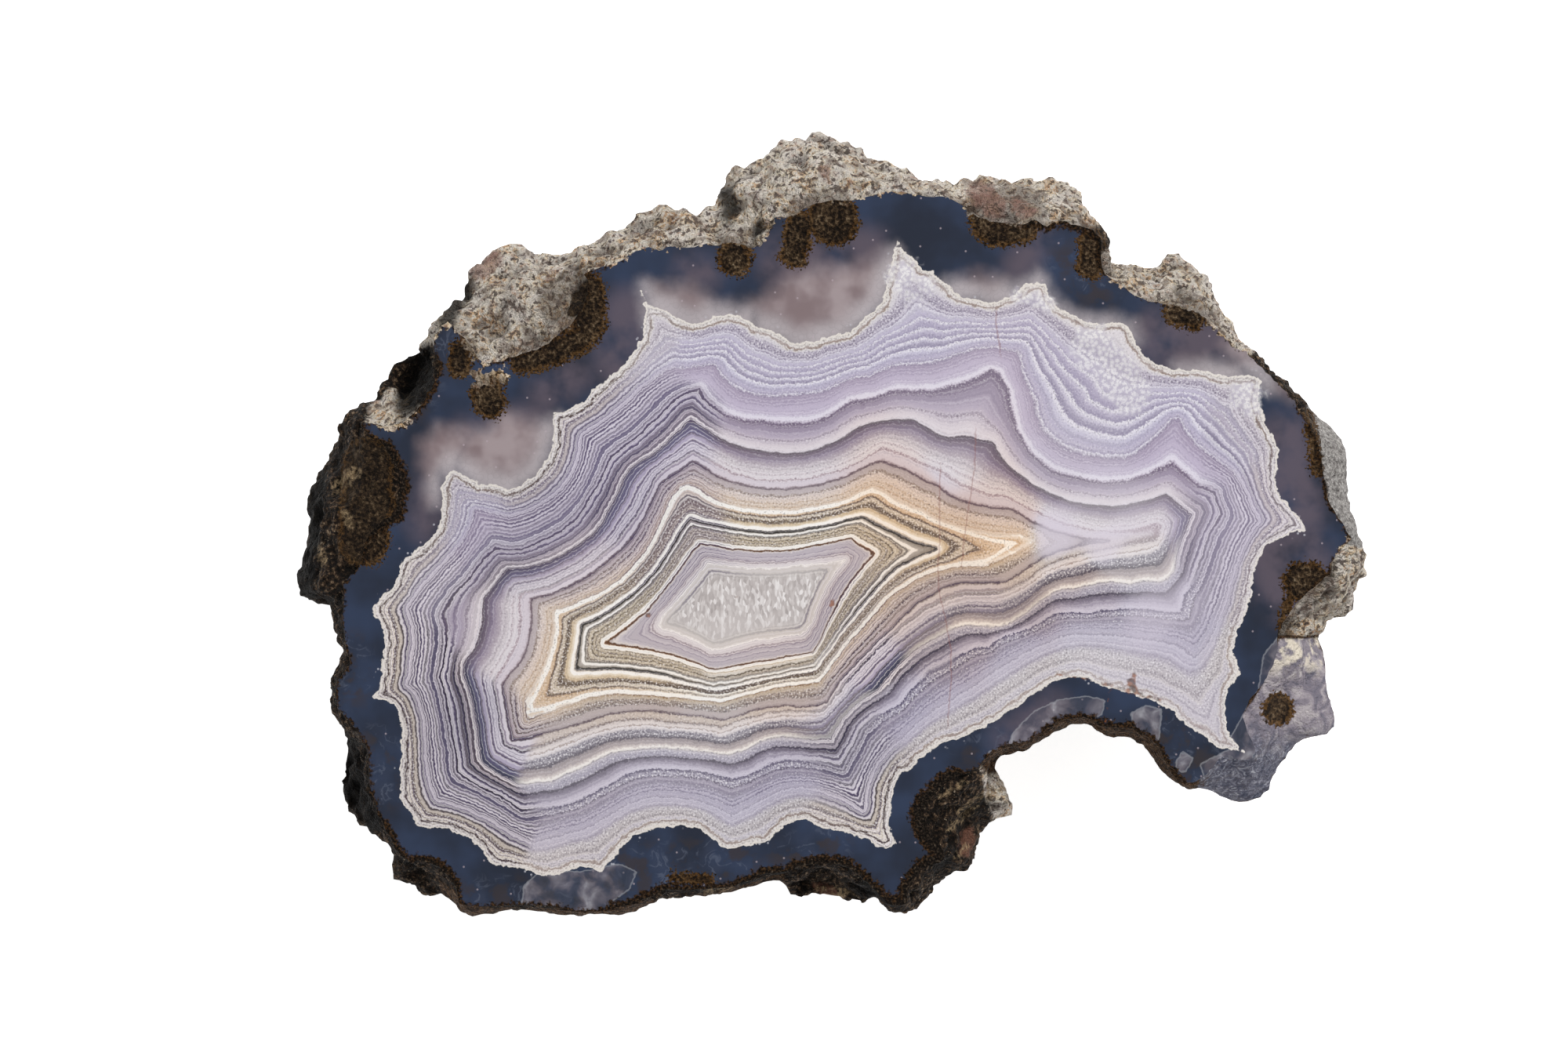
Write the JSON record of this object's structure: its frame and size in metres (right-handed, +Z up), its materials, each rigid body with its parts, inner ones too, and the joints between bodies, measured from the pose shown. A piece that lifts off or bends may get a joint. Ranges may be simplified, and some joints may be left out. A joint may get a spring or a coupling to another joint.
{
  "type": "polished agate half nodule",
  "caption": "Half of a banded agate nodule with host rock on its rim, sawn flat and polished, lying on its rough rounded back with the patterned cut face up.",
  "frame": {"origin": "middle of the outline's box, on the plane of the small flat spot under the rounded back that the stone rests on", "axes": "+Z is up, the polished face's outward normal; +X runs along the stone's longest way, to the right in the picture; +Y is towards the top of the picture, the side with the most host rock"},
  "size_m": [0.096, 0.0704, 0.034],
  "materials": {
    "banded_agate": "lilac, white and tan bands in dark blue-grey chalcedony, polished on the flat face and rough on the rind and host rock"
  },
  "bodies": {
    "root": {"agate_half": "banded_agate"}
  },
  "joints": []
}
